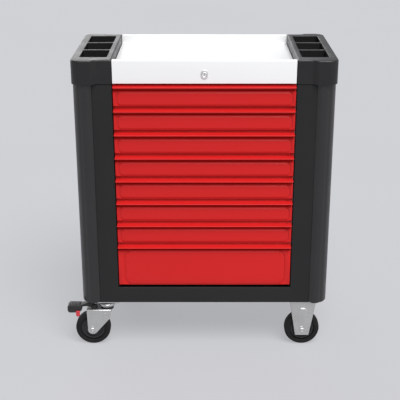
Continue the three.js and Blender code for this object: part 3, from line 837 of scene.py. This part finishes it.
def front_profile(lo, hi, top):
    """(y, z) up the face, round the finger recess, out round the pull lip and up to the top."""
    face = lo.y + LIP_REACH
    strip = face + STRIP_SET_BACK
    wall = face + GRIP_SET_BACK
    path = [(hi.y, lo.z), *curve((face + 4, lo.z), (strip, lo.z), (strip, lo.z + 2.5), 4)]
    path.append((strip, top - 3))
    path += curve(path[-1], (strip, top + 1), (face + 4.5, top + 1.3))
    path += curve(path[-1], (wall, top + 1.5), (wall, top + 5.5))
    path.append((wall, top + 8))
    path += curve(path[-1], (wall, top + 11.6), (wall - 4, top + 11.7))
    path.append((lo.y + 2.5, top + 12.2))
    path += curve(path[-1], (lo.y, top + 12.2), (lo.y, top + 14.4))
    path += curve(path[-1], (lo.y, top + 16.5), (lo.y + 3, top + 16.6))
    path += curve(path[-1], (wall, top + 17.4), (wall, hi.z - 1), 12)
    path.append((wall + 0.3, hi.z))
    path.append((hi.y, hi.z))
    return path


def end_border(outer_x, pad_x, pad_low, pad_high, radius, groove=3.2):
    """The raised strip at a front's end, which leaves a groove round the pad's two corners."""
    loop = [(outer_x, pad_low), (outer_x, pad_high)]
    reach = radius + groove
    for centre_z, start in ((pad_high - radius, 108), (pad_low + radius, 180)):
        for k in range(9):
            a = math.radians(start + 72 * k / 8)
            loop.append((pad_x + radius + reach * math.cos(a), centre_z + reach * math.sin(a)))
    return [(a, min(max(b, pad_low), pad_high)) for a, b in loop]


def drawer_front(index):
    lo, hi = box(f"drawer_{index + 1}_front")
    top = face_top(index)
    face = lo.y + LIP_REACH
    piece = Piece(f"drawer_{index + 1}_panel").use("red_steel")
    path = front_profile(lo, hi, top)
    end_cap = 1.4
    piece.plate(thickened(path, -1.1), "x", lo.x + 0.2, hi.x - 0.2)
    for x in (lo.x, hi.x - end_cap):
        piece.plate(path, "x", x, x + end_cap, 0.4, steps=2)
    tall = index == DRAWER_COUNT - 1
    side_margin = 22 if tall else 12
    radius = 26 if tall else 14
    pad_low, pad_high = lo.z + 2.6, top - 2
    pad = box_outline(lo.x + side_margin, hi.x - side_margin, pad_low, pad_high, radius, 10)
    piece.pad(pad, "y", face + STRIP_SET_BACK, face, 5.5)
    border = end_border(lo.x + 0.6, lo.x + side_margin, pad_low, pad_high, radius)
    for outline in (border, mirrored(border)):
        piece.plate(outline, "y", face + 0.7, face + STRIP_SET_BACK + 1, 0.6, edges=(True, False))
    piece.build(f"drawer_{index + 1}", "red_steel", [f"drawer_{index + 1}_front"], angle=40)


def slotted_wall(piece, axis, a0, a1, b0, b1, w0, w1, pitch=25):
    """An upright wall with a row of divider slots along its upper half."""
    holes = []
    solid_ends, half_slot = 40, 1.5
    count = int((a1 - a0 - solid_ends) / pitch)
    start = (a0 + a1) / 2 - (count - 1) * pitch / 2
    for k in range(count):
        a = start + k * pitch
        holes.append(box_outline(a - half_slot, a + half_slot, b0 + 22, b1 - 12, 1.4, 2))
    piece.plate(box_outline(a0, a1, b0, b1), axis, w0, w1, 0, holes)


def drawer_box(index):
    lo, hi = box(f"drawer_{index + 1}_box")
    sheet = 1.2
    rail = 7
    x0, x1 = lo.x + rail, hi.x - rail
    y0, y1 = lo.y, hi.y
    piece = Piece(f"drawer_{index + 1}_tub").use("drawer_steel")
    piece.slab((x0, y0, lo.z), (x1, y1, lo.z + sheet), 0.3)
    inner = 0.3
    for x in (x0, x1 - sheet):
        slotted_wall(piece, "x", y0 + inner, y1 - inner, lo.z + inner, hi.z - 1, x, x + sheet)
    for y in (y0, y1 - sheet):
        slotted_wall(piece, "y", x0 + sheet, x1 - sheet, lo.z + inner, hi.z - 1, y, y + sheet)
    hem = 1.6
    rim_low = hi.z - 5
    for x in (x0 + hem, x1 - hem):
        piece.slab((x - hem, y0, rim_low), (x + hem, y1, hi.z), 1.2, axis="y")
    for y in (y0 + hem, y1 - hem):
        piece.slab((x0, y - hem, rim_low), (x1, y + hem, hi.z), 1.2, axis="x")
    lug_z = face_top(index) + 9
    piece.slab((x1 - sheet, y0 + 17.6, lug_z), (x1 + 3, y0 + 23.6, lug_z + 5), 0.5)
    piece.use("zinc_steel")
    slide_lo, _ = box(f"drawer_{index + 1}_slide_right")
    for side in ("left", "right"):
        channel(piece, side, x1 - 0.2, x1 + rail, 12.5, slide_centre(index), slide_lo.y - 2, y1)
    piece.build(f"drawer_{index + 1}", "drawer_steel", [f"drawer_{index + 1}_box"])
    mat = Piece(f"drawer_{index + 1}_liner").use("mat")
    gap = 4
    mat.slab((x0 + gap, y0 + gap, lo.z + sheet + 0.1), (x1 - gap, y1 - gap, lo.z + sheet + 2.6), 0.8, 4)
    mat.build(f"drawer_{index + 1}")


def middle_slides(index):
    for side in ("left", "right"):
        node = f"drawer_{index + 1}_slide_{side}"
        lo, hi = box(f"drawer_{index + 1}_slide_right")
        centre = (lo.z + hi.z) / 2
        half = (hi.z - lo.z) / 2
        piece = Piece(f"drawer_{index + 1}_runner_{side}").use("zinc_steel")
        channel(piece, side, hi.x, lo.x, half, centre, lo.y, hi.y)
        ball, shoulder = 1.35, 1.35 * 0.7
        ball_profile = [(0, -ball), (shoulder, -shoulder), (ball, 0), (shoulder, shoulder), (0, ball)]
        balls, ball_pitch = 14, 11
        for sign in (-1, 1):
            z = centre + sign * (half + 1.0)
            x = side_x((lo.x + hi.x) / 2, side)
            piece.use("chrome")
            for k in range(balls):
                y = lo.y + 12 + k * ball_pitch
                piece.lathe(ball_profile, (x, y, z), "z", 8)
            piece.use("zinc_steel")
            piece.slab((x - 2.6, lo.y + 5, z - 0.3),
                       (x + 2.6, lo.y + 12 + balls * ball_pitch, z + 0.3), 0.1)
        piece.build(f"drawer_{index + 1}_slides", "zinc_steel", [node], angle=40)


# ---- Casters ------------------------------------------------------------------------------

WHEEL_RADIUS = (high("front_fixed_wheel").z - low("front_fixed_wheel").z) / 2


def wheel(node, body):
    centre = middle(node)
    half = 19
    R = WHEEL_RADIUS
    piece = Piece(f"{body}_tyre").use("tyre")
    side = rounded([(R * 0.705, half - 8), (R * 0.72, half - 1.0, 2), (R * 0.84, half, 6),
                    (R * 0.955, half - 1.2, 5), (R, half - 9, 8), (R, 1.0)], 0, 5, False)
    seam = [(R - 0.5, 0.4), (R - 0.5, -0.4)]
    piece.lathe(side + seam + [(r, -w) for r, w in reversed(side)], centre, "y", 96)
    piece.build(body, "tyre", [node], angle=50)
    core = Piece(f"{body}_core").use("core_plastic")
    web = 9
    face = [(8.5, 20.5), (13.5, 20.5, 1), (15.5, 13, 2), (20, web + 1.5, 2),
            (R * 0.54, web + 1.5, 2), (R * 0.56, half - 3.4, 1.5), (R * 0.632, half - 2.4, 1.2),
            (R * 0.642, half - 9), (R * 0.71, half - 9)]
    face = rounded(face, 0, 4, False)
    core.lathe(face + [(r, -w) for r, w in reversed(face)], centre, "y", 96)
    spokes = 8
    spoke = [(15, -1.4), (R * 0.57, -1.1), (R * 0.57, 1.1), (15, 1.4)]
    for k in range(spokes):
        a = math.tau * k / spokes
        c, s = math.cos(a), math.sin(a)
        turned = [(centre.x + u * c - v * s, centre.z + u * s + v * c) for u, v in spoke]
        for start, end in ((-13.2, -web), (web, 13.2)):
            core.plate(turned, "y", centre.y + start, centre.y + end, 0.6)
    core.use("zinc_steel")
    core.lathe([(6.3, -22), (8.6, -22), (8.6, 22), (6.3, 22)], centre, "y", 32)
    core.build(body, "dark_plastic", angle=40)


def axle(node, body):
    lo, hi = box(node)
    centre = (lo + hi) / 2
    piece = Piece(f"{node}_bolt").use("zinc_steel")
    piece.rod(6, lo.y + 2, hi.y - 2, (centre.x, 0, centre.z), "y")
    piece.bolt((centre.x, lo.y + 5.8, centre.z), "y", -1, 8.5, 5.8)
    piece.bolt((centre.x, hi.y - 5.8, centre.z), "y", 1, 8.5, 5.8)
    piece.build(body, "zinc_steel", [node], angle=30)


def bent_bracket(name, x0, x1, y0, y1, z0, z1, sheet, bend):
    """An inverted U of sheet, legs facing front and back, along X."""
    path = rounded([(y0, z0), (y0, z1, bend), (y1, z1, bend), (y1, z0)], 0, 6, False)
    return Piece(name).use("zinc_steel").plate(thickened(path, -sheet), "x", x0, x1)


def mounting_plate(piece, centre, top):
    half_length, half_width, sheet, bolt_inset = 47, 35, 4, 8.5
    x0, x1 = centre.x - half_length, centre.x + half_length
    y0, y1 = centre.y - half_width, centre.y + half_width
    piece.slab((x0, y0, top - sheet), (x1, y1, top), 0.8, 6)
    for x in (x0 + bolt_inset, x1 - bolt_inset):
        for y in (y0 + bolt_inset, y1 - bolt_inset):
            piece.bolt((x, y, top - sheet), "z", -1, 5, 4)


CROWN_TOP = 142
LEG_END_RADIUS = 17.5


def swivel_mount(end, centre, race_z):
    top = high(f"{end}_swivel_plate").z
    piece = Piece(f"{end}_swivel_mount").use("zinc_steel")
    mounting_plate(piece, centre, top)
    piece.use("chrome")
    race = rounded([
        (7, race_z), (27, race_z), (31, race_z + 1, 1), (32, race_z + 3, 2),
        (32, race_z + 7, 3), (26, race_z + 10, 2), (7, race_z + 10),
    ], 0, 4)
    piece.lathe(race, (centre.x, centre.y, 0), "z", 72)
    # A black plastic collar between the ring and the plate: a dark piece that stands for the shade under
    # the chest.
    piece.use("black_plastic")
    painted_shade_collar = [(7, race_z + 9.6), (24, race_z + 9.6), (24, top - 4.1), (7, top - 4.1)]
    piece.lathe(painted_shade_collar, (centre.x, centre.y, 0), "z", 48)
    piece.build("cabinet", "zinc_steel", [f"{end}_swivel_plate"], angle=35)


def swivel_legs(end, centre, wheel_centre, turned):
    """The fork's inverted U, drawn with the wheel trailing along -X."""
    lo, hi = box(f"{end}_swivel_fork")
    trail = abs(wheel_centre.x - centre.x)
    x, wheel_x, wheel_z = centre.x, centre.x - trail, wheel_centre.z
    fork = bent_bracket(f"{end}_swivel_legs", x - 76, x + 20, lo.y, hi.y, lo.z, CROWN_TOP, 3, 3.5)
    first, last, steps = 169, 318, 16
    angles = [math.radians(first + (last - first) * k / steps) for k in range(steps + 1)]
    arc = [(wheel_x + LEG_END_RADIUS * math.cos(a), wheel_z + LEG_END_RADIUS * math.sin(a)) for a in angles]
    outline = rounded([
        (x + 15, CROWN_TOP + 20), (x - 72, CROWN_TOP + 20), (x - 72, CROWN_TOP - 12, 8),
        *arc, (x + 12, 110, 10),
    ])
    cutter = Piece("side_cutter").plate(outline, "y", lo.y - 10, hi.y + 10)
    ridge = Piece(f"{end}_swivel_ridges").use("zinc_steel")
    shape = rounded([(x - 13, CROWN_TOP - 12, 5), (x - 13, wheel_z + 30, 5),
                     (x - 4, wheel_z + 37, 5), (x - 4, CROWN_TOP - 12, 5)])
    ridge.pad(shape, "y", lo.y, lo.y - 1.4, 3)
    ridge.pad(shape, "y", hi.y, hi.y + 1.4, 3)
    for piece in (fork, cutter, ridge):
        if turned:
            piece.half_turn(centre)
    body = f"{end}_swivel"
    cuts = [("INTERSECT", cutter.solid()), ("DIFFERENCE", bore(AXLE_BORE_RADIUS, wheel_centre))]
    fork.build(body, "zinc_steel", [f"{end}_swivel_fork"], cuts=cuts, bevel=0.5)
    ridge.build(body, "zinc_steel", angle=40)


def swivel_head(end, centre, race_z, pivot):
    """Ring, kingpin and the two lugs that carry the pedal."""
    hi = high(f"{end}_swivel_fork")
    head = Piece(f"{end}_swivel_head").use("chrome")
    seat = rounded([
        (0, race_z - 4.4), (26, race_z - 4.4), (29.5, race_z - 2.6, 1),
        (29.5, race_z - 0.7), (0, race_z - 0.7),
    ], 0, 4, False)
    head.lathe(seat, (centre.x, centre.y, 0), "z", 72)
    # The narrow neck under the ring is black plastic: a dark piece that stands for the shade in the gap
    # below the ring.
    head.use("black_plastic")
    painted_shade_neck = [(0, CROWN_TOP - 3), (23, CROWN_TOP - 3), (22, race_z - 4), (0, race_z - 4)]
    head.lathe(painted_shade_neck, (centre.x, centre.y, 0), "z", 48)
    head.use("zinc_steel")
    head.rod(6.4, race_z - 1, hi.z, (centre.x, centre.y, 0), "z", 24)
    head.use("black_plastic")
    lug = rounded([
        (pivot.x - 7, CROWN_TOP - 1), (pivot.x + 7, CROWN_TOP - 1),
        (pivot.x + 6, pivot.z + 6, 5.5), (pivot.x - 6, pivot.z + 6, 5.5),
    ])
    lug_face, lug_sheet = 19, 3
    for sign in (-1, 1):
        outside = centre.y + sign * lug_face
        near, far = sorted((outside, outside - sign * lug_sheet))
        head.plate(lug, "y", near, far, 0.5)
        head.bolt((pivot.x, outside, pivot.z), "y", sign, 3.2, 2.4)
    head.build(f"{end}_swivel", "zinc_steel", angle=35)


def brake(end, centre, pivot, turned):
    lo, hi = box(f"{end}_brake_pedal")
    body = f"{end}_brake_pedal"
    x, y = centre.x, centre.y
    reach = max(centre.x - lo.x, hi.x - centre.x)
    hinge = x - abs(pivot.x - centre.x)
    tip, top, bottom = x - reach, 156, lo.z + 2.5
    piece = Piece(f"{end}_brake_lever").use("black_plastic")
    arm = rounded([
        (x - 36, 144.3, 3), (x - 36, 163, 5), (hinge, 166, 7), (x - 62, 164, 7),
        (tip + 47, 153.5), (tip + 47, 148), (x - 72, 149.2, 4), (x - 57, 144.6, 4),
    ])
    piece.plate(arm, "y", y - 14, y + 14, 1.8)
    tread = rounded([
        (tip, bottom + 7, 5), (tip + 6, bottom, 5), (tip + 42, bottom + 0.5, 8),
        (tip + 52, bottom + 12, 7), (tip + 52, top - 4, 5), (tip + 44, top - 1.2, 6),
        (tip + 7, top - 1.2, 6), (tip, top - 7, 5),
    ])
    piece.plate(tread, "y", y - 19, y + 19, 3.2, steps=4)
    ribs, first_rib, rib_pitch = 6, 7.5, 6.4
    for k in range(ribs):
        rib_x = tip + first_rib + k * rib_pitch
        piece.slab((rib_x, y - 14, top - 3), (rib_x + 3, y + 14, top), 0.9, 1.2, "x")
    piece.rod(6, -15.7, 15.7, (hinge, y, pivot.z), "y", 24)
    tab = Piece(f"{end}_release_tab").use("red_plastic")
    shape = rounded([
        (tip + 31, bottom + 9), (tip + 30, bottom - 8, 3), (tip + 36, bottom - 14, 2.5),
        (tip + 44, bottom - 10, 3), (tip + 45, bottom + 9),
    ])
    tab.plate(shape, "y", y - 23.5, y - 19.4, 1.2)
    tab.plate(circle((tip + 38, bottom + 5), 3, 16), "y", y - 24.5, y - 18, 0.8)
    if turned:
        piece.half_turn(centre)
        tab.half_turn(centre)
    piece.build(body, "black_plastic", [f"{end}_brake_pedal"], angle=40)
    tab.build(body)


def swivel_caster(end):
    centre = middle(f"{end}_swivel_plate")
    wheel_centre = middle(f"{end}_swivel_wheel")
    turned = wheel_centre.x > centre.x
    race_z = low(f"{end}_swivel_plate").z
    pivot = pivot_of(f"{end}_brake_press")
    swivel_mount(end, centre, race_z)
    swivel_legs(end, centre, wheel_centre, turned)
    swivel_head(end, centre, race_z, pivot)
    brake(end, centre, pivot, turned)
    wheel(f"{end}_swivel_wheel", f"{end}_swivel_wheel")
    axle(f"{end}_swivel_axle", f"{end}_swivel")


def fixed_caster(end):
    node = f"{end}_fixed_bracket"
    lo, hi = box(node)
    centre = (lo + hi) / 2
    wheel_z = middle(f"{end}_fixed_wheel").z
    y0, y1 = centre.y - 27, centre.y + 27
    top = hi.z - 4
    x, foot = centre.x, lo.z
    legs = bent_bracket(f"{end}_fixed_legs", lo.x - 5, hi.x + 5, y0, y1, lo.z - 10, top - 0.1, 3, 6)
    outline = rounded([
        (x + 47, top + 5), (x - 47, top + 5), (x - 46, top - 3, 20),
        (x - 24, foot, 5), (x + 24, foot, 5), (x + 46, top - 3, 20),
    ])
    cutter = Piece("side_cutter").plate(outline, "y", y0 - 10, y1 + 10).solid()
    hole = bore(AXLE_BORE_RADIUS, (x, centre.y, wheel_z))
    cuts = [("INTERSECT", cutter), ("DIFFERENCE", hole)]
    legs.build("cabinet", "zinc_steel", [node], cuts=cuts, bevel=0.5)
    trim = Piece(f"{end}_fixed_mount").use("zinc_steel")
    mounting_plate(trim, centre, hi.z)
    rib = box_outline(x - 18, x + 18, wheel_z + 13.5, top - 22, 15, 10)
    trim.pad(rib, "y", y0, y0 - 3, 6)
    trim.pad(rib, "y", y1, y1 + 3, 6)
    trim.build("cabinet", "zinc_steel", angle=40)
    wheel(f"{end}_fixed_wheel", f"{end}_fixed_wheel")
    axle(f"{end}_fixed_axle", "cabinet")


# ---- Room, light and camera ---------------------------------------------------------------

def backdrop():
    s = Shader("studio_floor", (0.17, 0.1725, 0.18), 0.95, Specular_IOR_Level=0.0)
    s.tint(s.noise(0.8, 3.0), 0.02)
    s.set("Emission Color", (0.95, 0.96, 1.0, 1.0))
    s.set("Emission Strength", 0.41)
    data = bpy.data.meshes.new("studio_floor")
    reach = 40.0
    corners = [(-reach, -reach, 0), (reach, -reach, 0), (reach, reach, 0), (-reach, reach, 0)]
    data.from_pydata(corners, [], [(0, 1, 2, 3)])
    floor = bpy.data.objects.new("studio_floor", data)
    data.materials.append(s.material)
    bpy.context.scene.collection.objects.link(floor)


def sun(name, direction, strength, softness):
    data = bpy.data.lights.new(name, "SUN")
    data.energy = strength
    data.angle = math.radians(softness)
    lamp = bpy.data.objects.new(name, data)
    lamp.rotation_euler = Vector(direction).to_track_quat("-Z", "Y").to_euler()
    bpy.context.scene.collection.objects.link(lamp)


def lights():
    world = bpy.data.worlds.new("studio")
    bpy.context.scene.world = world
    world.use_nodes = True
    tree = world.node_tree
    tint = (0.95, 0.97, 1.0, 1.0)
    fill = tree.nodes["Background"]
    fill.inputs["Color"].default_value = tint
    fill.inputs["Strength"].default_value = 0.42
    behind = tree.nodes.new("ShaderNodeBackground")
    behind.inputs["Color"].default_value = tint
    behind.inputs["Strength"].default_value = 0.64
    seen = tree.nodes.new("ShaderNodeLightPath").outputs["Is Camera Ray"]
    choice = tree.nodes.new("ShaderNodeMixShader")
    tree.links.new(seen, choice.inputs["Fac"])
    tree.links.new(fill.outputs["Background"], choice.inputs[1])
    tree.links.new(behind.outputs["Background"], choice.inputs[2])
    tree.links.new(choice.outputs["Shader"], tree.nodes["World Output"].inputs["Surface"])
    sun("high_key", (-0.18, 0.50, -0.85), 3.2, 40)
    sun("rim_light", (0.39, -0.90, -0.27), 0.75, 50)
    sun("side_strip", (-0.81, 0.47, -0.34), 0.25, 25)


def camera():
    data = bpy.data.cameras.new("view")
    data.sensor_width = 36.0
    data.lens = 84.83
    data.shift_x = -0.011
    data.clip_end = 100.0
    eye = bpy.data.objects.new("view", data)
    eye.location = (CHEST_X * MM, FRONT_Y * MM - 3.0049, 1.6956)
    eye.rotation_euler = (math.radians(69.4), 0.0, 0.0)
    bpy.context.scene.collection.objects.link(eye)
    bpy.context.scene.camera = eye


camera()
lights()
backdrop()
bpy.context.scene.view_settings.view_transform = "Standard"

front_frame()
back_panel()
floor_pan()
worktop()
lock()
for side_name in ("left", "right"):
    side_panel(side_name)
    cladding(side_name)
    tray(side_name)
for drawer_index in range(DRAWER_COUNT):
    drawer_front(drawer_index)
    drawer_box(drawer_index)
    middle_slides(drawer_index)
for end_name in ("front", "rear"):
    swivel_caster(end_name)
    fixed_caster(end_name)
